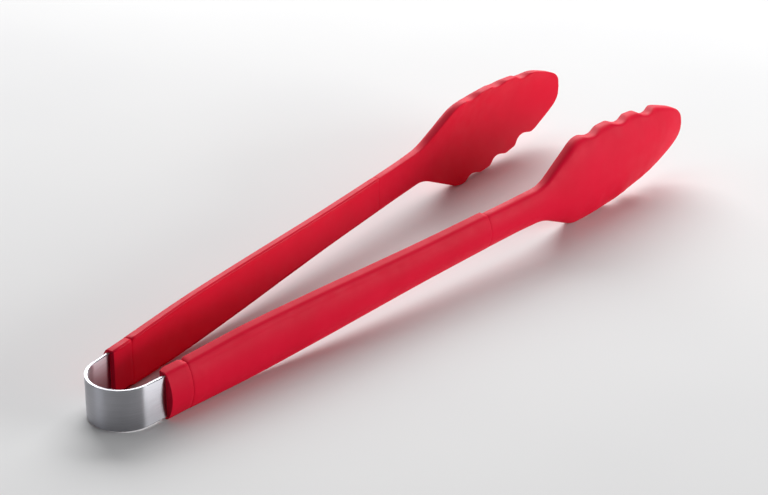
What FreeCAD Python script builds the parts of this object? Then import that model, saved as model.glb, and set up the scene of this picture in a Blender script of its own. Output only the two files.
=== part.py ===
"""Spring loaded kitchen tongs: two silicone covered arms on a bent spring band.

Frame: origin at the centre of the spring's round bow, +X forward to the tips,
+Z up across the width of the arms, which mirror each other in the XZ plane.
Each arm is drawn in its own axes: X along the arm from its mouth, Y outward
from its flat inner face, Z up.  Sizes are millimetres and degrees, in the Dims
sheet; the far arm is built, then mirrored to make the near one.
"""

import FreeCAD, Part
import os
import Sketcher

Vector = FreeCAD.Vector
doc = FreeCAD.newDocument("kitchen_tongs")

# ------------------------------------------------------------- driving sizes

DRIVING_SIZES = {
    # the spring band, and where the arms leave it
    "bow_radius": 11.65,
    "band_thickness": 1.0,
    "band_height": 14.5,
    "splay": 4.87,
    "band_inset": 1.7,
    "mouth_reach": 6.5,
    "tongue_start": 7.9,
    "tongue_end": 36.0,
    "tongue_height": 10.0,
    # the pin that locks the band's tongue in the core
    "pin_radius": 1.5,
    "pin_station": 24.0,
    "pin_start": 1.3,
    "pin_length": 2.7,
    "play": 0.04,
    # walls and steps
    "cover_wall": 1.0,
    "mouth_wall": 1.0,
    "mouth_depth": 8.4,
    "cavity_edge": 2.76,
    "cavity_crown": 1.85,
    "plate_thickness": 1.0,
    # places along the arm
    "collar_end_place": 9.1,
    "grip_place": 38.0,
    "middle_place": 66.5,
    "waist_place": 95.0,
    "taper_place": 123.5,
    "seam_place": 152.2,
    "neck_place": 180.0,
    # the tip's round end, and the scallops' round bites
    "tip_reach": 273.4,
    "scallop_radius": 8.5,
}

# Half height, edge thickness and crown of the handle at each place.
HANDLE_SECTIONS = {
    "collar": (8.25, 3.05, 2.5),
    "collar_end": (8.4, 3.15, 2.55),
    "grip": (9.0, 2.8, 2.6),
    "middle": (8.5, 2.8, 2.6),
    "waist": (7.6, 2.9, 2.4),
    "taper": (6.85, 2.9, 2.3),
    "seam": (6.5, 2.9, 2.2),
    "neck": (6.4, 3.0, 2.2),
}
# Place, half height, inner edge, outer edge, bowl and bulge of the head.
HEAD_SECTIONS = {
    "root": (152.2, 6.5, 0.0, 2.9, 0.0, 2.2),
    "stem": (166.0, 6.4, 0.0, 3.0, 0.0, 2.2),
    "throat": (180.0, 7.4, 0.0, 3.0, 0.0, 2.2),
    "shoulder": (192.0, 12.2, -1.4, 1.7, 1.4, 3.5),
    "cheek": (204.0, 17.8, -3.3, -0.3, 3.6, 5.3),
    "belly": (216.0, 18.4, -4.2, -1.1, 4.7, 5.8),
    "middle": (228.0, 18.0, -4.9, -1.7, 5.1, 5.7),
    "waist": (240.0, 16.8, -5.6, -2.4, 4.9, 5.3),
    "nose": (252.0, 14.6, -6.2, -3.1, 4.0, 4.4),
    "beak": (264.0, 11.6, -6.8, -3.8, 2.3, 2.8),
    "tip": (276.0, 8.0, -7.4, -4.5, 0.5, 0.8),
}
# How much of the head's half height the core's plate fills.
PLATE_SHARE = {
    "stem": 0.60,
    "throat": 0.60,
    "shoulder": 0.66,
    "cheek": 0.73,
    "belly": 0.74,
    "middle": 0.70,
    "waist": 0.68,
    "nose": 0.62,
    "beak": 0.48,
}
# The head's outline before the scallops: place along the arm, half height.
OUTLINE_CORNERS = {
    "root": (150.0, 12.0),
    "throat": (183.0, 6.7),
    "cheek": (203.6, 16.7),
    "belly": (222.0, 16.6),
    "waist": (239.0, 15.0),
    "nose": (256.5, 11.8),
    "tip": (270.7, 6.5),
}
# The floor of each scallop: place along the arm, half height.
SCALLOPS = {
    "rear": (213.5, 15.4),
    "centre": (231.5, 14.4),
    "front": (249.3, 11.8),
}


def make_sheet():
    """Give every driving size a cell with a name of its own."""
    sizes = dict(DRIVING_SIZES)
    for name, (height, edge, crown) in HANDLE_SECTIONS.items():
        sizes[name + "_height"] = height
        sizes[name + "_edge"] = edge
        sizes[name + "_crown"] = crown
    for name, values in HEAD_SECTIONS.items():
        for field, value in zip(("place", "height", "inner", "outer", "bowl", "bulge"), values):
            sizes["head_" + name + "_" + field] = value
    for name, share in PLATE_SHARE.items():
        sizes["plate_" + name + "_share"] = share
    for name, (along, height) in OUTLINE_CORNERS.items():
        sizes["outline_" + name + "_along"] = along
        sizes["outline_" + name + "_height"] = height
    for name, (along, height) in SCALLOPS.items():
        sizes["scallop_" + name + "_along"] = along
        sizes["scallop_" + name + "_height"] = height
    sheet = doc.addObject("Spreadsheet::Sheet", "Dims")
    for row, (alias, value) in enumerate(sizes.items(), 1):
        sheet.set("A" + str(row), alias)
        sheet.set("B" + str(row), str(value))
        sheet.setAlias("B" + str(row), alias)
    doc.recompute()


# ------------------------------------------------------------------- helpers

FULL_WIDTH = "30"   # longer than any cut that runs right through an arm
SPLAY = "(Dims.splay * 1 deg)"
# The arms' half spacing at the mouth puts the band's legs on the bow's tangents.
MOUTH_SPACING = (
    "(Dims.bow_radius - Dims.band_thickness - Dims.band_inset"
    f" + Dims.mouth_reach * sin({SPLAY})) / cos({SPLAY})"
)


def place_on_arm(thing):
    """Turn and move a shape drawn in the arm's own axes into the tongs' frame."""
    thing.Placement = FreeCAD.Placement(Vector(1, 1, 0), FreeCAD.Rotation(Vector(0, 0, 1), 5))
    thing.setExpression("Placement.Base.x", "Dims.mouth_reach")
    thing.setExpression("Placement.Base.y", MOUTH_SPACING)
    thing.setExpression("Placement.Rotation.Angle", SPLAY)


def add_body(name):
    body = doc.addObject("PartDesign::Body", name)
    body.Label = name
    return body


def add_sketch(body, name, plane, offset=None):
    """An empty sketch on one of the body's own planes, moved along its normal."""
    sketch = body.newObject("Sketcher::SketchObject", name)
    origin_plane = [f for f in body.Origin.OriginFeatures if f.Role == plane][0]
    sketch.AttachmentSupport = [(origin_plane, "")]
    sketch.MapMode = "FlatFace"
    if offset:
        sketch.setExpression("AttachmentOffset.Base.z", offset)
    return sketch


def add_size(sketch, name, formula, *constraint):
    """Add a named dimension to a sketch and bind it to a formula."""
    index = sketch.addConstraint(Sketcher.Constraint(*constraint))
    sketch.renameConstraint(index, name)
    sketch.setExpression("Constraints." + name, formula)


def arc_centre(chord_place, rise, half_chord):
    """Where along its axis an arc's centre lies, from its chord and its rise."""
    return f"{chord_place} + (({rise})^2 - ({half_chord})^2) / (2 * ({rise}))"


def add_section(body, name, place, height, inner, outer, bulge, bowl=None):
    """A cross-section of the arm, symmetric about Z = 0: an inner edge, a short
    top and bottom, and an outer edge.  The bowl hollows the inner edge and the
    bulge rounds the outer one; without them they are flat."""
    sketch = add_sketch(body, name, "YZ_Plane", place)
    inner_low, inner_high = Vector(0, -8, 0), Vector(0, 8, 0)
    outer_low, outer_high = Vector(3, -8, 0), Vector(3, 8, 0)

    def add_edge(low, middle, high, rise):
        if rise:
            return sketch.addGeometry(Part.Arc(low, middle, high))
        return sketch.addGeometry(Part.LineSegment(low, high))

    inner_edge = add_edge(inner_low, Vector(2, 0, 0), inner_high, bowl)
    top = sketch.addGeometry(Part.LineSegment(inner_high, outer_high))
    outer_edge = add_edge(outer_low, Vector(6, 0, 0), outer_high, bulge)
    bottom = sketch.addGeometry(Part.LineSegment(outer_low, inner_low))
    for corner in (
        (inner_edge, 2, top, 1),
        (top, 2, outer_edge, 2),
        (outer_edge, 1, bottom, 1),
        (bottom, 2, inner_edge, 1),
    ):
        sketch.addConstraint(Sketcher.Constraint("Coincident", *corner))
    sketch.addConstraint(Sketcher.Constraint("Horizontal", top))
    sides = (("inner", inner_edge, inner, bowl), ("outer", outer_edge, outer, bulge))
    for side, edge, position, rise in sides:
        sketch.addConstraint(Sketcher.Constraint("Symmetric", edge, 1, edge, 2, -1))
        add_size(sketch, side + "_place", position, "DistanceX", -1, 1, edge, 2, 1.0)
        if rise:
            centre = arc_centre(position, rise, height)
            add_size(sketch, side + "_centre", centre, "DistanceX", -1, 1, edge, 3, -9.0)
    add_size(sketch, "half_height", height, "DistanceY", -1, 1, inner_edge, 2, 8.0)
    return sketch


def add_loft(body, name, sections):
    loft = body.newObject("PartDesign::AdditiveLoft", name)
    loft.Profile = sections[0]
    loft.Sections = sections[1:]
    return loft


def add_part(kind, name, **settings):
    """A Part object with its plain properties set and its formulas bound."""
    thing = doc.addObject(kind, name)
    thing.Label = name
    for key, value in settings.items():
        if isinstance(value, str):
            thing.setExpression(key, value)
        else:
            setattr(thing, key, value)
    return thing


def fuse(name, shapes):
    return add_part("Part::MultiFuse", name, Shapes=shapes, Refine=True)


def cut(name, base, tool):
    return add_part("Part::Cut", name, Base=base, Tool=tool)


def move(thing, x=None, y=None, z=None):
    for axis, formula in (("x", x), ("y", y), ("z", z)):
        if formula:
            thing.setExpression("Placement.Base." + axis, formula)


# --------------------------------------------------------------- spring band

def make_spring_band():
    """A strip bent round a bow, with straight legs that narrow to a tongue."""
    inner_radius = "(Dims.bow_radius - Dims.band_thickness)"
    along_leg = f"(Dims.mouth_reach * cos({SPLAY}) + {MOUTH_SPACING} * sin({SPLAY}))"

    bow_outside = add_part(
        "Part::Cylinder",
        "bow_outside",
        Radius="Dims.bow_radius",
        Height="Dims.band_height",
        Angle=f"180 deg - 2 * {SPLAY}",
    )
    bow_outside.Placement.Rotation = FreeCAD.Rotation(Vector(0, 0, 1), 95)
    bow_outside.setExpression("Placement.Rotation.Angle", f"90 deg + {SPLAY}")
    move(bow_outside, z="-Dims.band_height / 2")
    bow_inside = add_part(
        "Part::Cylinder", "bow_inside", Radius=inner_radius, Height="2 * Dims.band_height"
    )
    move(bow_inside, z="-Dims.band_height")
    bow = cut("bow", bow_outside, bow_inside)

    def strip(name, start, length, height):
        """A flat run of the band, drawn from a place on the leg."""
        run = add_part(
            "Part::Box", name, Length=length, Width="Dims.band_thickness", Height=height
        )
        run.Placement.Rotation = FreeCAD.Rotation(Vector(0, 0, 1), 5)
        run.setExpression("Placement.Rotation.Angle", SPLAY)
        move(
            run,
            x=f"({start}) * cos({SPLAY}) - {inner_radius} * sin({SPLAY})",
            y=f"({start}) * sin({SPLAY}) + {inner_radius} * cos({SPLAY})",
            z=f"-({height}) / 2",
        )
        return run

    leg = strip("leg", "0", f"{along_leg} + Dims.tongue_start", "Dims.band_height")
    tongue = strip(
        "tongue",
        f"{along_leg} + Dims.tongue_start",
        "Dims.tongue_end - Dims.tongue_start",
        "Dims.tongue_height",
    )
    pin_hole = make_pin_rod("pin_hole", "Dims.pin_radius + Dims.play", "-10", FULL_WIDTH)
    place_on_arm(pin_hole)
    far_leg = cut("far_leg", fuse("leg_and_tongue", [leg, tongue]), pin_hole)
    near_leg = add_part("Part::Mirroring", "near_leg", Source=far_leg, Normal=Vector(0, 1, 0))
    return fuse("spring_band", [bow, far_leg, near_leg])


def make_pin_rod(name, radius, start, length):
    """A round rod across the arm at the pin's place, drawn in the arm's axes."""
    body = add_body(name)
    sketch = add_sketch(body, name + "_circle", "XZ_Plane", f"-({start})")
    sketch.addGeometry(Part.Circle(Vector(24, 0, 0), Vector(0, 0, 1), 1.5))
    sketch.addConstraint(Sketcher.Constraint("PointOnObject", 0, 3, -1))
    add_size(sketch, "station", "Dims.pin_station", "DistanceX", -1, 1, 0, 3, 24.0)
    add_size(sketch, "radius", radius, "Radius", 0, 1.5)
    pad = body.newObject("PartDesign::Pad", name + "_pad")
    pad.Profile = sketch
    pad.Reversed = True
    pad.setExpression("Length", length)
    return body


# ------------------------------------------------------------------ the arms

def handle_sections(body, names, inset="0"):
    """Sections of the handle, drawn in from its outside by an inset."""
    sections = []
    for name in names:
        sections.append(
            add_section(
                body,
                f"{body.Name}_{name}",
                f"Dims.{name}_place",
                f"Dims.{name}_height - {inset}",
                inset,
                f"Dims.{name}_edge - {inset}",
                f"Dims.{name}_crown",
            )
        )
    return sections


def head_sections(body):
    sections = []
    for name, values in HEAD_SECTIONS.items():
        has_bowl = values[-2] > 0
        size = f"Dims.head_{name}_"
        sections.append(
            add_section(
                body,
                f"{body.Name}_{name}",
                size + "place",
                size + "height",
                size + "inner",
                size + "outer",
                size + "bulge",
                size + "bowl" if has_bowl else None,
            )
        )
    return sections


def plate_sections(body):
    """Sections of the core's plate, which follows the middle of the bowl's wall."""
    sections = []
    for name in PLATE_SHARE:
        size = f"Dims.head_{name}_"
        share = f"Dims.plate_{name}_share"
        inner = f"{size}inner + {size}bowl * (1 - {share}^2) + Dims.cover_wall"
        has_bowl = HEAD_SECTIONS[name][-2] > 0
        bowl = f"{size}bowl * {share}^2" if has_bowl else None
        sections.append(
            add_section(
                body,
                f"{body.Name}_{name}",
                size + "place",
                f"{size}height * {share}",
                inner,
                f"{inner} + Dims.plate_thickness",
                bowl,
                bowl,
            )
        )
    return sections


def make_core_blank():
    """The rigid core before its mouth and slots are cut: a full size collar at
    the tail, a slim bar under the sleeve, and a thin dished plate in the head."""
    collar = add_body("core_collar")
    collar_sizes = ("Dims.collar_height", "0", "Dims.collar_edge", "Dims.collar_crown")
    collar_pad = collar.newObject("PartDesign::Pad", "collar_pad")
    collar_pad.Profile = add_section(collar, "collar_outline", "0", *collar_sizes)
    collar_pad.setExpression("Length", "Dims.collar_end_place")
    bar = add_body("core_bar")
    bar_names = ("collar_end", "grip", "middle", "waist", "taper", "seam", "neck")
    add_loft(bar, "bar_loft", handle_sections(bar, bar_names, "Dims.cover_wall"))
    plate = add_body("core_plate")
    sections = plate_sections(plate)
    add_loft(plate, "plate_root_loft", sections[:2])
    add_loft(plate, "plate_loft", sections[1:])
    return fuse("core_blank", [collar, bar, plate])


def make_arm_core(blank):
    """Cut the mouth, which is open round the band, then the slot that grips the
    band's tongue, and the bore of its lock pin."""
    mouth = add_body("mouth_cavity")
    section = add_section(
        mouth,
        "mouth_outline",
        "0",
        "Dims.band_height / 2 + Dims.play",
        "Dims.mouth_wall",
        "Dims.cavity_edge",
        "Dims.cavity_crown",
    )
    pad = mouth.newObject("PartDesign::Pad", "mouth_pad")
    pad.Profile = section
    pad.setExpression("Length", "Dims.mouth_depth")
    slot = add_part(
        "Part::Box",
        "tongue_slot",
        Length="Dims.tongue_end - Dims.mouth_depth / 2 + Dims.play",
        Width="Dims.band_thickness + 2 * Dims.play",
        Height="Dims.tongue_height + 2 * Dims.play",
    )
    move(
        slot,
        x="Dims.mouth_depth / 2",
        y="Dims.band_inset - Dims.play",
        z="-Dims.tongue_height / 2 - Dims.play",
    )
    bore = make_pin_rod("pin_bore", "Dims.pin_radius", "Dims.pin_start", "Dims.pin_length")
    core = cut("far_arm_core", blank, fuse("core_cuts", [mouth, slot, bore]))
    place_on_arm(core)
    return core


def make_handle_sleeve(blank):
    """The silicone sleeve moulded over the core, from the collar to the seam."""
    outside = add_body("sleeve_outside")
    names = ("collar_end", "grip", "middle", "waist", "taper", "seam")
    add_loft(outside, "sleeve_loft", handle_sections(outside, names))
    sleeve = cut("far_handle_sleeve", outside, blank)
    place_on_arm(sleeve)
    return sleeve


def make_outline_blade():
    """The head's outline as a thick blade: straight edges and a round tip."""
    blade = add_body("outline_blade")
    sketch = add_sketch(blade, "outline", "XZ_Plane")
    names = list(OUTLINE_CORNERS)
    upper = [Vector(*OUTLINE_CORNERS[name], 0) for name in names]
    lower = [Vector(point.x, -point.y, 0) for point in upper]
    last = len(names) - 1
    for start, end in zip(upper, upper[1:]):
        sketch.addGeometry(Part.LineSegment(start, end))
    for start, end in zip(lower, lower[1:]):
        sketch.addGeometry(Part.LineSegment(start, end))
    sketch.addGeometry(Part.Arc(lower[-1], Vector(273.4, 0, 0), upper[-1]))
    sketch.addGeometry(Part.LineSegment(lower[0], upper[0]))
    tip_arc, root_line = 2 * last, 2 * last + 1
    for side in (0, last):
        for edge in range(side, side + last - 1):
            sketch.addConstraint(Sketcher.Constraint("Coincident", edge, 2, edge + 1, 1))
    sketch.addConstraint(Sketcher.Constraint("Coincident", last - 1, 2, tip_arc, 2))
    sketch.addConstraint(Sketcher.Constraint("Coincident", 2 * last - 1, 2, tip_arc, 1))
    sketch.addConstraint(Sketcher.Constraint("Coincident", root_line, 1, last, 1))
    sketch.addConstraint(Sketcher.Constraint("Coincident", root_line, 2, 0, 1))
    for number, (name, point) in enumerate(zip(names, upper)):
        edge, end = (number, 1) if number < last else (last - 1, 2)
        mirrored = edge + last
        sketch.addConstraint(Sketcher.Constraint("Symmetric", edge, end, mirrored, end, -1))
        size = f"Dims.outline_{name}_"
        add_size(sketch, name + "_along", size + "along", "DistanceX", -1, 1, edge, end, point.x)
        add_size(sketch, name + "_height", size + "height", "DistanceY", -1, 1, edge, end, point.y)
    rise = "Dims.tip_reach - Dims.outline_tip_along"
    centre = arc_centre("Dims.outline_tip_along", rise, "Dims.outline_tip_height")
    add_size(sketch, "tip_centre", centre, "DistanceX", -1, 1, tip_arc, 3, 264.2)
    pad = blade.newObject("PartDesign::Pad", "outline_pad")
    pad.Profile = sketch
    pad.SideType = "Symmetric"
    pad.setExpression("Length", FULL_WIDTH)
    return blade


def make_head_cover(blank):
    """The silicone spoon: a dished loft trimmed to the outline, with scallops
    bitten from both long edges, hollow where the core's plate fills it."""
    spoon = add_body("spoon")
    sections = head_sections(spoon)
    add_loft(spoon, "stem_loft", sections[:3])
    add_loft(spoon, "spoon_loft", sections[2:])
    trimmed = add_part("Part::Common", "trimmed_spoon", Base=spoon, Tool=make_outline_blade())
    bites = []
    for name in SCALLOPS:
        for side, sign in (("upper", ""), ("lower", "-")):
            bite = add_part(
                "Part::Cylinder",
                f"{side}_{name}_scallop",
                Radius="Dims.scallop_radius",
                Height=FULL_WIDTH,
            )
            bite.Placement.Rotation = FreeCAD.Rotation(Vector(1, 0, 0), -90)
            move(
                bite,
                x=f"Dims.scallop_{name}_along",
                y=f"-{FULL_WIDTH} / 2",
                z=f"{sign}(Dims.scallop_{name}_height + Dims.scallop_radius)",
            )
            bites.append(bite)
    scalloped = cut("scalloped_spoon", trimmed, fuse("scallop_bites", bites))
    cover = cut("far_head_cover", scalloped, blank)
    place_on_arm(cover)
    return cover


def make_lock_pin():
    pin = make_pin_rod("far_lock_pin", "Dims.pin_radius", "Dims.pin_start", "Dims.pin_length")
    place_on_arm(pin)
    return pin


def mirror_to_near_side(part):
    return add_part(
        "Part::Mirroring",
        part.Label.replace("far_", "near_"),
        Source=part,
        Normal=Vector(0, 1, 0),
    )


# ------------------------------------------------------------ build and write

def build():
    make_sheet()
    blank = make_core_blank()
    far_parts = [
        make_arm_core(blank),
        make_handle_sleeve(blank),
        make_head_cover(blank),
        make_lock_pin(),
    ]
    near_parts = [mirror_to_near_side(part) for part in far_parts]
    sub_parts = [make_spring_band()] + far_parts + near_parts
    doc.recompute()
    return sub_parts


def check(sub_parts):
    """Stop if anything in the document failed or a sub-part isn't sound."""
    for thing in doc.Objects:
        if "Invalid" in thing.State or "Error" in thing.State:
            raise RuntimeError(f"{thing.Label} failed: {thing.State}")
    for part in sub_parts:
        if part.Shape.isNull() or not part.Shape.isValid():
            raise RuntimeError(f"{part.Label} has no valid shape")
        print(f"{part.Label:20s} solids {len(part.Shape.Solids)}  {part.Shape.Volume:9.1f} mm3")


def write(sub_parts):
    os.makedirs("parts", exist_ok=True)
    for part in sub_parts:
        part.Shape.exportStep(os.path.join("parts", part.Label + ".step"))


tongs = build()
check(tongs)
write(tongs)
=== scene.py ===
"""Spring loaded kitchen tongs: red silicone arms on a bent band of brushed steel.

Frame: metres, origin at the centre of the spring's round bow, +X forward to the
tips, +Z up across the width of the arms.  Each arm piece is shaped in its own
axes, in millimetres: X along the arm from its mouth, Y outward from the flat
inner face, Z up.  The far arm's piece is turned into place, and its mirror
image in the XZ plane is the near arm's.
"""

from math import atan2, cos, pi, radians, sin

import bmesh
import bpy
from mathutils import Matrix, Vector


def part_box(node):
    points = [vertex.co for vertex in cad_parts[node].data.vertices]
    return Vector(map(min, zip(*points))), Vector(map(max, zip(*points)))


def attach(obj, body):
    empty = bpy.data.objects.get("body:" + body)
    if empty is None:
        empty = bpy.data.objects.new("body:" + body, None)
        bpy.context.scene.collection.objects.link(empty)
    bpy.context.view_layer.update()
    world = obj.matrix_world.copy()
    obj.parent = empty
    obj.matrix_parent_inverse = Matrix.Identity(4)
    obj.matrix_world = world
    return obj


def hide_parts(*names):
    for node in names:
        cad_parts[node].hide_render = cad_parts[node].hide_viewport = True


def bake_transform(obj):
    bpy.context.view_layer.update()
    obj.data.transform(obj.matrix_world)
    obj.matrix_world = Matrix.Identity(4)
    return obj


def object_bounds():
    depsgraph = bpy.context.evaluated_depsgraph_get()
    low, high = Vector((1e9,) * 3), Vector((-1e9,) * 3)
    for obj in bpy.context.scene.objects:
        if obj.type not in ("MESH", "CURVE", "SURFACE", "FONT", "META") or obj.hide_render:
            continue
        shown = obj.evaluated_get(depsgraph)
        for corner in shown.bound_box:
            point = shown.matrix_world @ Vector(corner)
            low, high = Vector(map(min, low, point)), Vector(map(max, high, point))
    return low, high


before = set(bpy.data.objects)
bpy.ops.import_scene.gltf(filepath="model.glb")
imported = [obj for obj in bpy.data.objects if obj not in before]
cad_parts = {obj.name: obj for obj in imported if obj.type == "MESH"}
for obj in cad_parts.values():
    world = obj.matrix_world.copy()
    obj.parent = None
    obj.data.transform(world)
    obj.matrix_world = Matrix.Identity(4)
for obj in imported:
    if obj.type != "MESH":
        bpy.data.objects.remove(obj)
cad_low, cad_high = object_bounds()

MM = 0.001

# How near two values are when they count as the same: on a unit slab, and in
# millimetres.
SLAB_TOLERANCE = 1e-4
PLACE_TOLERANCE = 1e-3

# --------------------------------------------------------------- driving sizes

# The angle between each arm and the tongs' middle line.
SPLAY = radians(4.87)

BOW_RADIUS = 11.64
BAND_THICKNESS = 1.0
BAND_HEIGHT = 14.5
BAND_EDGE_ROUND = 0.2
# How far the strip runs into the arm, and how much of its leg shows before it.
BAND_END = 7.9
LEG_BEFORE_MOUTH = 7.286

COLLAR_END = 9.1
COLLAR_HALF_HEIGHT = 8.25
COLLAR_EDGE = 3.05
COLLAR_CROWN = 2.5
MOUTH_WALL = 1.0
MOUTH_DEPTH = 8.4

BAR_INSET = 1.0
SLEEVE_WALL = 0.5
# The ring seam where the handle sleeve meets the head's cover.
SEAM = 152.2
SEAM_HALF_HEIGHT = 6.5

JOINT_ROUND = 0.15
INNER_CORNER_ROUND = 0.55
OUTER_CORNER_ROUND = 0.8
HEAD_RIM_ROUND = 1.0
# The width of the ring of faces at a border, which holds the rounded corner.
CORNER_RING = 1.3

# Place along the handle, half height, edge thickness, crown.
HANDLE_STATIONS = (
    (COLLAR_END, 8.32, 3.08, 2.52),
    (38.0, 9.0, 2.8, 2.6),
    (66.5, 8.5, 2.8, 2.6),
    (95.0, 7.6, 2.9, 2.4),
    (123.5, 6.85, 2.9, 2.3),
    (SEAM, SEAM_HALF_HEIGHT, 2.9, 2.2),
)
# Place along the head, half height, inner edge, outer edge, bowl, bulge.
HEAD_STATIONS = (
    (SEAM, SEAM_HALF_HEIGHT, 0.0, 2.9, 0.0, 2.2),
    (166.0, 6.4, 0.0, 3.0, 0.0, 2.2),
    (180.0, 7.4, 0.0, 3.0, 0.0, 2.2),
    (192.0, 12.2, -1.4, 1.7, 1.4, 3.5),
    (204.0, 17.8, -3.3, -0.3, 3.6, 5.25),
    (216.0, 18.4, -4.2, -1.1, 4.7, 5.7),
    (228.0, 18.0, -4.9, -1.7, 5.1, 5.65),
    (240.0, 16.8, -5.6, -2.4, 4.9, 5.3),
    (252.0, 14.6, -6.2, -3.0, 4.0, 4.5),
    (264.0, 11.6, -6.8, -3.5, 2.3, 3.0),
    (276.0, 8.0, -7.4, -4.2, 0.5, 1.0),
)
# The head's outline: a narrow neck, a straight shoulder, then a long crest.
NECK_HALF_HEIGHT = 6.4
NECK_LENGTH = 12.0
SHOULDER_START = (183.0, 6.7)
SHOULDER_END = (203.6, 16.7)
SHOULDER_FOOT_BLEND = 2.2
SHOULDER_TOP_BLEND = 1.6
CREST = (
    (190.0, 16.9),
    (203.6, 16.7),
    (222.0, 16.5),
    (239.0, 15.0),
    (256.5, 12.0),
    (262.0, 10.0),
)
# The blunt round tip, from the end of the crest to the middle line.
TIP_OUTLINE = (
    (256.5, 12.0),
    (262.0, 10.0),
    (267.2, 7.9),
    (270.9, 5.8),
    (272.9, 3.2),
    (273.4, 0.0),
)
TIP_START = TIP_OUTLINE[0][0]
# The end of the middle line that the head's rings are folded round.
SPINE_END = 259.0
# The scallops in both long edges: the floor's place and half height.
SCALLOPS = ((213.5, 15.4), (231.5, 14.4), (249.3, 11.8))
SCALLOP_RADIUS = 8.5
SCALLOP_LIP_BLEND = 1.0
OUTER_SCALLOP_SHARE = 0.75
# The outer face turns from a plain crown to a full belly over this length.
BELLY_START = 178.0
BELLY_LENGTH = 24.0
BULGE_FULLNESS = 0.68


# --------------------------------------------------------------------- curves

def value_along(stations, place):
    """The values at a place, on a smooth line through the stations that never
    swings past them."""
    last = len(stations) - 2
    index = 0
    while index < last and place > stations[index + 1][0]:
        index += 1
    start, end = stations[index], stations[index + 1]
    step = end[0] - start[0]
    t = min(1.0, max(0.0, (place - start[0]) / step))

    def slope(number, field):
        if number == 0 or number == len(stations) - 1:
            return (end[field] - start[field]) / step
        before, here, after = stations[number - 1 : number + 2]
        rise = (here[field] - before[field]) / (here[0] - before[0])
        run = (after[field] - here[field]) / (after[0] - here[0])
        return 0.0 if rise * run <= 0 else 2 * rise * run / (rise + run)

    values = []
    for field in range(1, len(start)):
        values.append(
            (2 * t**3 - 3 * t**2 + 1) * start[field]
            + (t**3 - 2 * t**2 + t) * step * slope(index, field)
            + (3 * t**2 - 2 * t**3) * end[field]
            + (t**3 - t**2) * step * slope(index + 1, field)
        )
    return values


def soft_min(a, b, blend):
    """The lower of two heights, with the corner between them rounded off."""
    overlap = max(blend - abs(a - b), 0.0) / blend
    return min(a, b) - overlap * overlap * blend / 4


def soft_max(a, b, blend):
    return -soft_min(-a, -b, blend)


def soft_step(value):
    """0 below 0 and 1 above 1, with a smooth rise between."""
    value = min(1.0, max(0.0, value))
    return value * value * (3 - 2 * value)


# ---------------------------------------------------------------- mesh helpers

def new_parts(result, kind):
    """The vertices or faces that a bmesh operator has just made."""
    return [part for part in result["geom"] if isinstance(part, kind)]


def make_slab(along_count, across_count):
    """A unit slab: X along, Y across, and Z 0 on the inner and 1 on the outer side."""
    bm = bmesh.new()
    bmesh.ops.create_grid(bm, x_segments=along_count, y_segments=across_count, size=0.5)
    bmesh.ops.translate(bm, verts=bm.verts, vec=(0.5, 0.5, 0.0))
    raised = bmesh.ops.extrude_face_region(bm, geom=bm.faces[:])
    top = new_parts(raised, bmesh.types.BMVert)
    bmesh.ops.translate(bm, verts=top, vec=(0.0, 0.0, 1.0))
    bmesh.ops.recalc_face_normals(bm, faces=bm.faces)
    return bm


def edges_along(bm, across, side):
    """The slab's long edges at one border across it and on one of its sides."""
    found = []
    for edge in bm.edges:
        off_border = max(abs(v.co.y - across) for v in edge.verts)
        off_side = max(abs(v.co.z - side) for v in edge.verts)
        if max(off_border, off_side) < SLAB_TOLERANCE:
            found.append(edge)
    return found


def shape(bm, point_at):
    """Move every vertex of a slab to its place on the piece."""
    for vertex in bm.verts:
        vertex.co = point_at(*vertex.co)


def round_edges(bm, edges, radius, segments=3):
    return bmesh.ops.bevel(
        bm,
        geom=edges,
        offset=radius,
        offset_type="OFFSET",
        affect="EDGES",
        segments=segments,
        profile=0.5,
        material=-1,
        clamp_overlap=False,
    )


def flat_faces(bm, axis, place, tolerance):
    """The faces that lie flat across an axis at a place along it."""
    found = []
    for face in bm.faces:
        if all(abs(v.co[axis] - place) < tolerance for v in face.verts):
            found.append(face)
    return found


def end_faces(bm, place):
    return flat_faces(bm, 0, place, PLACE_TOLERANCE)


def soften_end(bm, place):
    """Round the rim of the flat end where one piece of the arm meets the next."""
    end = set(end_faces(bm, place))
    rim = [e for e in bm.edges if sum(face in end for face in e.link_faces) == 1]
    round_edges(bm, rim, JOINT_ROUND, 2)


def push_faces(bm, faces, move):
    """Extrude faces by a vector, and return the new end faces and vertices."""
    pushed = bmesh.ops.extrude_face_region(bm, geom=faces)
    verts = new_parts(pushed, bmesh.types.BMVert)
    bmesh.ops.translate(bm, verts=verts, vec=move)
    return new_parts(pushed, bmesh.types.BMFace), verts


def ring_share(across, count, reach):
    """Spread rings evenly from the middle, with one narrow ring at the border."""
    ring = round(across * count)
    if ring == count:
        return 1.0
    return ring / (count - 1) * (1 - CORNER_RING / reach)


def make_rounded_bar(along_count, across_count, point_at, ends):
    """A closed bar with a flat inner face, a crowned outer one, rounded corners
    and softened ends."""
    bm = make_slab(along_count, across_count)
    inner = edges_along(bm, 0.0, 0.0) + edges_along(bm, 1.0, 0.0)
    outer = edges_along(bm, 0.0, 1.0) + edges_along(bm, 1.0, 1.0)
    shape(bm, point_at)
    round_edges(bm, inner, INNER_CORNER_ROUND)
    round_edges(bm, outer, OUTER_CORNER_ROUND, 4)
    for place in ends:
        soften_end(bm, place)
    bmesh.ops.recalc_face_normals(bm, faces=bm.faces)
    return bm


# -------------------------------------------------------------------- arm place

SHARP_ANGLE = radians(40)

core_low, core_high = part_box("far_arm_core")
MOUTH_PLACE = Vector(
    (core_low.x + (COLLAR_EDGE + COLLAR_CROWN) * MM * sin(SPLAY), core_low.y, 0.0)
)
ARM_TO_TONGS = (
    Matrix.Translation(MOUTH_PLACE) @ Matrix.Rotation(SPLAY, 4, "Z") @ Matrix.Scale(MM, 4)
)


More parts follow.
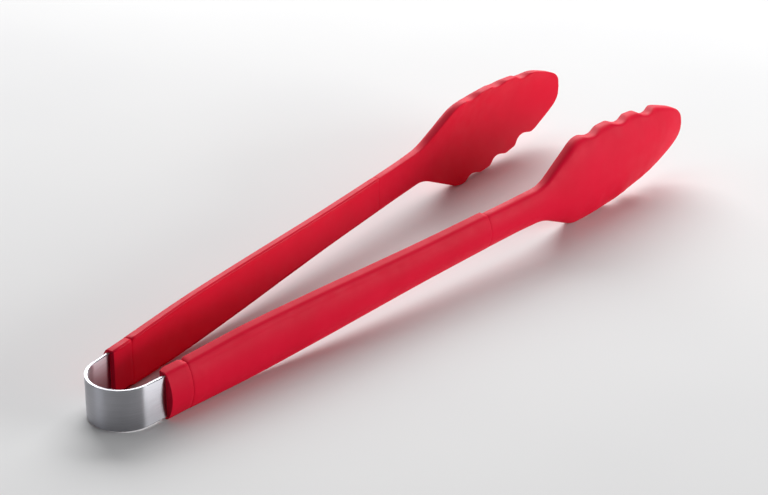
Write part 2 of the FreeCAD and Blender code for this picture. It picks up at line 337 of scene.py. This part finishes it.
def add_piece(name, bm, material):
    mesh = bpy.data.meshes.new(name)
    bm.to_mesh(mesh)
    mesh.shade_smooth()
    mesh.set_sharp_from_angle(angle=SHARP_ANGLE)
    mesh.materials.append(material)
    piece = bpy.data.objects.new(name, mesh)
    bpy.context.scene.collection.objects.link(piece)
    return piece


def add_pair(name, bm, material, turn_to_tongs=ARM_TO_TONGS):
    """The far piece from a bmesh, and the near one as its mirror image."""
    bmesh.ops.transform(bm, matrix=turn_to_tongs, verts=bm.verts)
    far = add_piece("far_" + name, bm, material)
    bmesh.ops.scale(bm, vec=(1.0, -1.0, 1.0), verts=bm.verts)
    bmesh.ops.reverse_faces(bm, faces=bm.faces)
    near = add_piece("near_" + name, bm, material)
    bm.free()
    return {"far": far, "near": near}


# ----------------------------------------------------------------------- handle

SLEEVE_ALONG = 143
SLEEVE_ACROSS = 30
# The panel's height as a share of the handle's, and its step and ends.
PANEL_HEIGHT = 0.80
PANEL_DEPTH = 0.14
PANEL_STEP_SHARE = 0.10
PANEL_MARGIN = 1.2
PANEL_END_ROUND = 4.0
PANEL_END_STEP = 1.5
PANEL_STOP = 2.0
PANEL_FADE = 30.0


def panel_drop(place, z, half_height):
    """The outer face steps down a little inside a long panel with a round end."""
    height = abs(z) / half_height / PANEL_HEIGHT
    if height >= 1.0:
        return 0.0
    end = COLLAR_END + PANEL_MARGIN + PANEL_END_ROUND * (1 - height * height) ** 0.5
    rise = soft_step((place - end) / PANEL_END_STEP)
    fade = soft_step((SEAM - place - PANEL_STOP) / PANEL_FADE)
    return PANEL_DEPTH * (rise * fade) * soft_step((1 - height) / PANEL_STEP_SHARE)


def sleeve_point(along, across, side):
    place = COLLAR_END + (SEAM - COLLAR_END) * along
    half_height, edge, crown = value_along(HANDLE_STATIONS, place)
    share = ring_share(abs(2 * across - 1), SLEEVE_ACROSS // 2, half_height)
    z = half_height * (share if across > 0.5 else -share)
    if side < 0.5:
        return Vector((place, 0.0, z))
    outer = edge + crown * (1 - share * share) - panel_drop(place, z, half_height)
    return Vector((place, outer, z))


def hollow_sleeve(bm):
    """Open both ends to a wall, and join them with a bore for the core."""
    rims = []
    for place in (COLLAR_END, SEAM):
        cap = end_faces(bm, place)
        bmesh.ops.inset_region(bm, faces=cap, thickness=SLEEVE_WALL, use_even_offset=True)
        bmesh.ops.delete(bm, geom=cap, context="FACES")
        for edge in bm.edges:
            if edge.is_boundary and abs(edge.verts[0].co.x - place) < PLACE_TOLERANCE:
                rims.append(edge)
    bmesh.ops.bridge_loops(bm, edges=rims)


def make_handle_sleeves(material):
    """The silicone sleeve over each core: a crowned bar with rounded corners,
    hollowed to a wall."""
    bm = make_rounded_bar(SLEEVE_ALONG, SLEEVE_ACROSS, sleeve_point, (COLLAR_END, SEAM))
    hollow_sleeve(bm)
    bmesh.ops.recalc_face_normals(bm, faces=bm.faces)
    return add_pair("sleeve", bm, material)


# ------------------------------------------------------------------ core collar

CORE_ACROSS = 20
CORE_STEPS = 6
BAR_STATIONS = HANDLE_STATIONS[1:]


def collar_point(along, across, side):
    place = COLLAR_END * along
    share = ring_share(abs(2 * across - 1), CORE_ACROSS // 2, COLLAR_HALF_HEIGHT)
    z = COLLAR_HALF_HEIGHT * (share if across > 0.5 else -share)
    outer = COLLAR_EDGE + COLLAR_CROWN * (1 - share * share)
    return Vector((place, outer if side > 0.5 else 0.0, z))


def make_arm_cores(material):
    """The nylon core: a collar with an open mouth for the band, then a slim bar
    that runs on under the sleeve."""
    bm = make_rounded_bar(CORE_STEPS, CORE_ACROSS, collar_point, (COLLAR_END,))

    mouth = end_faces(bm, 0.0)
    bmesh.ops.inset_region(bm, faces=mouth, thickness=MOUTH_WALL, use_even_offset=True)
    push_faces(bm, mouth, (MOUTH_DEPTH, 0.0, 0.0))

    bar = end_faces(bm, COLLAR_END)
    bmesh.ops.inset_region(bm, faces=bar, thickness=BAR_INSET, use_even_offset=True)
    place, half_height = COLLAR_END, COLLAR_HALF_HEIGHT
    for station in BAR_STATIONS:
        bar, verts = push_faces(bm, bar, (station[0] - place, 0.0, 0.0))
        narrowing = (station[1] - BAR_INSET) / (half_height - BAR_INSET)
        bmesh.ops.scale(bm, vec=(1.0, 1.0, narrowing), verts=verts)
        place, half_height = station[:2]
    bmesh.ops.recalc_face_normals(bm, faces=bm.faces)
    return add_pair("core_collar", bm, material)


# ------------------------------------------------------------------------- head

HEAD_ALONG = 260
HEAD_ACROSS = 18
# The share of the rim's columns that lie along the crest; the rest go to the tip.
CREST_SHARE = 0.85
SPINE_MERGE = 0.002


def crest_height(place):
    """The outline's half height before the scallops are bitten out."""
    if place >= CREST[0][0]:
        crest = value_along(CREST, place)[0]
    else:
        crest = CREST[0][1]
    run = SHOULDER_END[0] - SHOULDER_START[0]
    slope = (SHOULDER_END[1] - SHOULDER_START[1]) / run
    shoulder = SHOULDER_START[1] + (place - SHOULDER_START[0]) * slope
    flank = soft_max(NECK_HALF_HEIGHT, shoulder, SHOULDER_FOOT_BLEND)
    return soft_min(flank, crest, SHOULDER_TOP_BLEND)


def scallop_depth(place, height):
    """How deep the scallops bite into an outline of this height."""
    bitten = height
    for centre, floor in SCALLOPS:
        offset = abs(place - centre)
        if offset < SCALLOP_RADIUS:
            arc = floor + SCALLOP_RADIUS - (SCALLOP_RADIUS**2 - offset**2) ** 0.5
            bitten = soft_min(bitten, arc, SCALLOP_LIP_BLEND)
    return height - bitten


def rim_point(along, side):
    """Place and half height on the head's rim: 0 at the seam, 1 at the tip."""
    if along > CREST_SHARE:
        t = (along - CREST_SHARE) / (1 - CREST_SHARE) * (len(TIP_OUTLINE) - 1)
        knots = [(number, *point) for number, point in enumerate(TIP_OUTLINE)]
        return value_along(knots, t)
    place = SEAM + (TIP_START - SEAM) * along / CREST_SHARE
    height = crest_height(place)
    bite = scallop_depth(place, height)
    if side > 0.5:
        bite *= OUTER_SCALLOP_SHARE
    grown = soft_step((place - SEAM) / NECK_LENGTH)
    height = SEAM_HALF_HEIGHT + (height - SEAM_HALF_HEIGHT) * grown
    return place, height - bite


def bulge_height(place, z, share, rim_height):
    """How far the outer surface has risen from the rim, from 0 to 1: a plain
    crown on the neck, and a full round belly that hides the scallops."""
    if place < TIP_START:
        reach = max(crest_height(place), rim_height)
        share = min(1.0, z / reach)
    belly = soft_step((place - BELLY_START) / BELLY_LENGTH)
    return (1 - share * share) ** (1.0 + (BULGE_FULLNESS - 1.0) * belly)


def head_point(along, across, side):
    """The slab folds along the head's middle line, so that its outer border
    runs right round the rim."""
    upper = along <= 0.5
    rim_place, rim_height = rim_point(2 * along if upper else 2 - 2 * along, side)
    spine = min(rim_place, SPINE_END)
    reach = ((rim_place - spine) ** 2 + rim_height**2) ** 0.5
    share = ring_share(across, HEAD_ACROSS, reach)
    place = spine + (rim_place - spine) * share
    z = rim_height * share
    half_height, inner, outer, bowl, bulge = value_along(HEAD_STATIONS, place)
    if side < 0.5:
        y = inner + bowl * (1 - (z / half_height) ** 2)
    else:
        rim = outer + bulge * (1 - min(1.0, rim_height / half_height) ** 2)
        y = rim + (outer + bulge - rim) * bulge_height(place, z, share, rim_height)
    return Vector((place, y, z if upper else -z))


def make_heads(material):
    """The silicone spoon heads: a dished shell with a flat scalloped rim."""
    bm = make_slab(HEAD_ALONG, HEAD_ACROSS)
    inner = edges_along(bm, 1.0, 0.0)
    outer = edges_along(bm, 1.0, 1.0)
    spine_wall = flat_faces(bm, 1, 0.0, SLAB_TOLERANCE)
    bmesh.ops.delete(bm, geom=spine_wall, context="FACES_ONLY")
    shape(bm, head_point)
    bmesh.ops.remove_doubles(bm, verts=bm.verts, dist=SPINE_MERGE)
    round_edges(bm, [edge for edge in inner if edge.is_valid], INNER_CORNER_ROUND)
    round_edges(bm, [edge for edge in outer if edge.is_valid], HEAD_RIM_ROUND, 4)
    soften_end(bm, SEAM)
    bmesh.ops.recalc_face_normals(bm, faces=bm.faces)
    return add_pair("head", bm, material)


# ------------------------------------------------------------------ spring band

BOW_STEPS = 60
LEG_STEPS = 6
# The strip's long corners turn by more than this; the facets of its bow by less.
CORNER_ANGLE = 1.2


def long_corners(bm, tip):
    """The strip's four long edges, without those of its two end faces."""
    ends = set()
    for face in tip + flat_faces(bm, 1, 0.0, PLACE_TOLERANCE):
        ends |= set(face.edges)
    found = []
    for edge in bm.edges:
        rise = abs(edge.verts[0].co.z - edge.verts[1].co.z)
        turn = edge.calc_face_angle(0.0)
        if rise < PLACE_TOLERANCE and turn > CORNER_ANGLE and edge not in ends:
            found.append(edge)
    return found


def lay_brushing(bm):
    """A UV map whose U runs along the strip, the way it is brushed, in metres."""
    layer = bm.loops.layers.uv.new("brushing")
    for face in bm.faces:
        for loop in face.loops:
            x, y, z = loop.vert.co
            run = atan2(y, -x) * BOW_RADIUS if x < 0 else BOW_RADIUS * pi / 2 + x
            loop[layer].uv = (run * MM, z * MM)


def make_band_halves(material):
    """Each half of the spring: a strip bent round its bow from the middle of
    the back, then a straight leg into the arm's mouth."""
    bm = bmesh.new()
    bmesh.ops.create_grid(bm, x_segments=1, y_segments=1, size=0.5)
    strip_section = Matrix.Translation((-BOW_RADIUS + BAND_THICKNESS / 2, 0.0, 0.0))
    strip_section @= Matrix.Rotation(pi / 2, 4, "X")
    strip_section @= Matrix.Diagonal((BAND_THICKNESS, BAND_HEIGHT, 1.0, 1.0))
    bmesh.ops.transform(bm, matrix=strip_section, verts=bm.verts)
    bent = bmesh.ops.spin(
        bm,
        geom=bm.faces[:],
        cent=(0.0, 0.0, 0.0),
        axis=(0.0, 0.0, -1.0),
        angle=pi / 2 - SPLAY,
        steps=BOW_STEPS,
        use_duplicate=False,
    )
    tip = [part for part in bent["geom_last"] if isinstance(part, bmesh.types.BMFace)]
    leg = Vector((cos(SPLAY), sin(SPLAY), 0.0)) * (LEG_BEFORE_MOUTH + BAND_END)
    for _ in range(LEG_STEPS):
        tip, _verts = push_faces(bm, tip, leg / LEG_STEPS)
    round_edges(bm, long_corners(bm, tip), BAND_EDGE_ROUND)
    bmesh.ops.recalc_face_normals(bm, faces=bm.faces)
    lay_brushing(bm)
    return add_pair("band_half", bm, material, Matrix.Scale(MM, 4))


# -------------------------------------------------------------------- materials

def new_material(name):
    material = bpy.data.materials.new(name)
    material.use_nodes = True
    nodes, links = material.node_tree.nodes, material.node_tree.links
    return material, nodes, links, nodes["Principled BSDF"]


def object_pattern(nodes, links, stretch):
    """Object coordinates through a Mapping node that stretches them."""
    place = nodes.new("ShaderNodeTexCoord")
    mapping = nodes.new("ShaderNodeMapping")
    mapping.inputs["Scale"].default_value = stretch
    links.new(place.outputs["Object"], mapping.inputs["Vector"])
    return mapping.outputs["Vector"]


def noise(nodes, links, vector, scale, detail=3.0, roughness=0.5):
    texture = nodes.new("ShaderNodeTexNoise")
    texture.inputs["Scale"].default_value = scale
    texture.inputs["Detail"].default_value = detail
    texture.inputs["Roughness"].default_value = roughness
    links.new(vector, texture.inputs["Vector"])
    return texture.outputs["Fac"]


def spread(nodes, links, value, low, high, from_low=0.3, from_high=0.7):
    """Stretch a noise's middle range over new limits."""
    node = nodes.new("ShaderNodeMapRange")
    node.inputs["From Min"].default_value = from_low
    node.inputs["From Max"].default_value = from_high
    node.inputs["To Min"].default_value = low
    node.inputs["To Max"].default_value = high
    links.new(value, node.inputs["Value"])
    return node.outputs["Result"]


def blend_colour(nodes, links, share, first, second):
    node = nodes.new("ShaderNodeMix")
    node.data_type = "RGBA"
    node.inputs["A"].default_value = (*first, 1.0)
    node.inputs["B"].default_value = (*second, 1.0)
    links.new(share, node.inputs["Factor"])
    return node.outputs["Result"]


def bump(nodes, links, height, strength, distance, under=None):
    node = nodes.new("ShaderNodeBump")
    node.inputs["Strength"].default_value = strength
    node.inputs["Distance"].default_value = distance
    links.new(height, node.inputs["Height"])
    if under:
        links.new(under, node.inputs["Normal"])
    return node.outputs["Normal"]


def make_silicone(name, light_red, deep_red, rough_low, rough_high, grain):
    """Satin moulded silicone: slow drifts of colour and gloss, and a fine grain."""
    material, nodes, links, shader = new_material(name)
    plain = object_pattern(nodes, links, (1.0, 1.0, 1.0))
    drift = spread(nodes, links, noise(nodes, links, plain, 55.0, 2.0), 0.0, 1.0)
    colour = blend_colour(nodes, links, drift, deep_red, light_red)
    links.new(colour, shader.inputs["Base Color"])
    gloss = noise(nodes, links, plain, 240.0, 4.0)
    roughness = spread(nodes, links, gloss, rough_low, rough_high)
    links.new(roughness, shader.inputs["Roughness"])
    ripple = noise(nodes, links, plain, 320.0, 2.0)
    fine = noise(nodes, links, plain, 2600.0, 2.0)
    wavy = bump(nodes, links, ripple, 0.10, 0.0002)
    links.new(bump(nodes, links, fine, grain, 0.00006, wavy), shader.inputs["Normal"])
    shader.inputs["Specular IOR Level"].default_value = 0.08
    shader.inputs["Sheen Weight"].default_value = 0.01
    shader.inputs["Sheen Roughness"].default_value = 0.4
    return material


def make_nylon_with_painted_shade(name, light_red, deep_red, rough_low, rough_high, grain):
    """The same red moulded hard, with painted shade: the base colour falls away to near
    black inside the mouth.
    """
    material = make_silicone(name, light_red, deep_red, rough_low, rough_high, grain)
    nodes, links = material.node_tree.nodes, material.node_tree.links
    colour = nodes["Principled BSDF"].inputs["Base Color"]
    surface = colour.links[0].from_socket
    # Painted shade: ambient occlusion from the core's own faces blends the base colour
    # towards near black in the mouth and other recesses.
    painted_shade_occlusion = nodes.new("ShaderNodeAmbientOcclusion")
    painted_shade_occlusion.inputs["Distance"].default_value = 0.005
    painted_shade_occlusion.only_local = True
    unshaded_share = spread(nodes, links, painted_shade_occlusion.outputs["AO"], 0.0, 1.0, 0.45, 0.85)
    painted_shade_mix = nodes.new("ShaderNodeMix")
    painted_shade_mix.data_type = "RGBA"
    painted_shade_mix.inputs["A"].default_value = (0.08, 0.001, 0.004, 1.0)
    links.new(surface, painted_shade_mix.inputs["B"])
    links.new(unshaded_share, painted_shade_mix.inputs["Factor"])
    links.new(painted_shade_mix.outputs["Result"], colour)
    return material


def make_brushed_steel(name, light_grey, dark_grey, rough_low, rough_high):
    """Steel strip brushed along its length: fine level streaks in colour, gloss
    and height."""
    material, nodes, links, shader = new_material(name)
    streaked = object_pattern(nodes, links, (1.0, 1.0, 60.0))
    fine = noise(nodes, links, streaked, 90.0, 4.0, 0.6)
    broad = noise(nodes, links, streaked, 22.0, 3.0)
    shade = spread(nodes, links, fine, 0.0, 1.0)
    colour = blend_colour(nodes, links, shade, dark_grey, light_grey)
    links.new(colour, shader.inputs["Base Color"])
    roughness = spread(nodes, links, broad, rough_low, rough_high)
    links.new(roughness, shader.inputs["Roughness"])
    scratches = bump(nodes, links, fine, 0.12, 0.00003)
    links.new(scratches, shader.inputs["Normal"])
    along = nodes.new("ShaderNodeTangent")
    along.direction_type = "UV_MAP"
    along.uv_map = "brushing"
    links.new(along.outputs["Tangent"], shader.inputs["Tangent"])
    shader.inputs["Anisotropic"].default_value = 0.95
    shader.inputs["Anisotropic Rotation"].default_value = 0.25
    shader.inputs["Metallic"].default_value = 1.0
    return material


def make_floor_material():
    material, nodes, links, shader = new_material("pale_floor")
    plain = object_pattern(nodes, links, (1.0, 1.0, 1.0))
    drift = spread(nodes, links, noise(nodes, links, plain, 6.0, 2.0), 0.0, 1.0)
    colour = blend_colour(nodes, links, drift, (0.76, 0.76, 0.765), (0.80, 0.80, 0.80))
    links.new(colour, shader.inputs["Base Color"])
    shader.inputs["Roughness"].default_value = 0.9
    shader.inputs["Specular IOR Level"].default_value = 0.1
    return material


# ------------------------------------------------------------ floor, light, view

FLOOR_SIZE = 6.0
# Where the lower rim touches the floor, as a share of the head's length.
RIM_REST_SHARE = 0.45

WHITE = (1.0, 1.0, 1.0)
COOL_WHITE = (0.86, 0.9, 1.0)
# Name, place from the tongs' middle, size, power and colour.
SOFTBOXES = (
    ("rear_softbox", (1.15, 0.85, 0.8), (1.8, 0.9), 39.0, WHITE),
    ("overhead_softbox", (0.1, 0.4, 1.25), (1.6, 1.0), 3.6, WHITE),
    ("front_softbox", (0.55, -0.93, 0.20), (0.9, 0.36), 8.8, WHITE),
    ("side_softbox", (-0.9, 0.5, 0.35), (0.5, 0.5), 0.8, COOL_WHITE),
)
BACKDROP_STRENGTH = 0.10

# The camera's aim from the tongs' middle and its distance are in tongs' lengths.
CAMERA_AIM = Vector((-0.0076, -0.0007, -0.011))
CAMERA_DISTANCE = 2.948
CAMERA_AZIMUTH = radians(-52.43)
CAMERA_ELEVATION = radians(27.14)
CAMERA_LENS = 116.1
CAMERA_SENSOR = 36.0


def add_floor():
    """A pale floor under the heads' lower rims and the collars' lower faces."""
    head_low, head_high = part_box("far_head_cover")
    rest_place = head_low.x + (head_high.x - head_low.x) * RIM_REST_SHARE
    drop = -head_low.z - COLLAR_HALF_HEIGHT * MM
    tilt = drop / (rest_place - MOUTH_PLACE.x)
    bm = bmesh.new()
    bmesh.ops.create_grid(bm, x_segments=1, y_segments=1, size=FLOOR_SIZE)
    lean = Matrix.Translation((rest_place, 0.0, head_low.z)) @ Matrix.Rotation(tilt, 4, "Y")
    bmesh.ops.transform(bm, matrix=lean, verts=bm.verts)
    mesh = bpy.data.meshes.new("floor")
    bm.to_mesh(mesh)
    bm.free()
    mesh.materials.append(make_floor_material())
    floor = bpy.data.objects.new("floor", mesh)
    bpy.context.scene.collection.objects.link(floor)


def add_softbox(name, place, aim, size, power, colour):
    light = bpy.data.lights.new(name, "AREA")
    light.shape = "RECTANGLE"
    light.size, light.size_y = size
    light.energy = power
    light.color = colour
    lamp = bpy.data.objects.new(name, light)
    lamp.location = place
    lamp.rotation_euler = (aim - place).to_track_quat("-Z", "Y").to_euler()
    bpy.context.scene.collection.objects.link(lamp)


def add_lights():
    centre = (cad_low + cad_high) / 2
    for name, offset, size, power, colour in SOFTBOXES:
        add_softbox(name, centre + Vector(offset), centre, size, power, colour)
    world = bpy.data.worlds.new("studio")
    world.use_nodes = True
    backdrop = world.node_tree.nodes["Background"]
    backdrop.inputs["Color"].default_value = (*WHITE, 1.0)
    backdrop.inputs["Strength"].default_value = BACKDROP_STRENGTH
    bpy.context.scene.world = world


def add_camera():
    """A long lens above the tail, on the near side."""
    centre = (cad_low + cad_high) / 2
    length = cad_high.x - cad_low.x
    aim = centre + CAMERA_AIM * length
    level = Vector((sin(CAMERA_AZIMUTH), -cos(CAMERA_AZIMUTH), 0.0))
    back = level * cos(CAMERA_ELEVATION) + Vector((0.0, 0.0, sin(CAMERA_ELEVATION)))
    lens = bpy.data.cameras.new("camera")
    lens.lens = CAMERA_LENS
    lens.sensor_width = CAMERA_SENSOR
    camera = bpy.data.objects.new("camera", lens)
    camera.location = aim + back * CAMERA_DISTANCE * length
    camera.rotation_euler = (-back).to_track_quat("-Z", "Y").to_euler()
    bpy.context.scene.collection.objects.link(camera)
    bpy.context.scene.camera = camera


# --------------------------------------------------------------------- assembly

silicone = make_silicone(
    "red_silicone", (0.72, 0.0045, 0.034), (0.67, 0.004, 0.029), 0.44, 0.56, 0.12
)
nylon = make_nylon_with_painted_shade("red_nylon", (0.70, 0.0045, 0.033), (0.64, 0.004, 0.028), 0.46, 0.60, 0.2)
steel = make_brushed_steel(
    "brushed_steel", (0.50, 0.50, 0.535), (0.42, 0.42, 0.45), 0.33, 0.40
)

sleeves = make_handle_sleeves(silicone)
heads = make_heads(silicone)
cores = make_arm_cores(nylon)
bands = make_band_halves(steel)

for side, sign in (("far", 1), ("near", -1)):
    arm = side + "_arm"
    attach(sleeves[side], arm)
    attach(heads[side], arm)
    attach(cores[side], arm)
    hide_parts(side + "_handle_sleeve")
    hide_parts(side + "_head_cover")
    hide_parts(side + "_arm_core")
    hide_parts("spring_band")
    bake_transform(bands[side])
    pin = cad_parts[side + "_lock_pin"]
    pin.material_slots[0].material = steel

add_floor()
add_lights()
add_camera()
bpy.context.scene.view_settings.view_transform = "Standard"
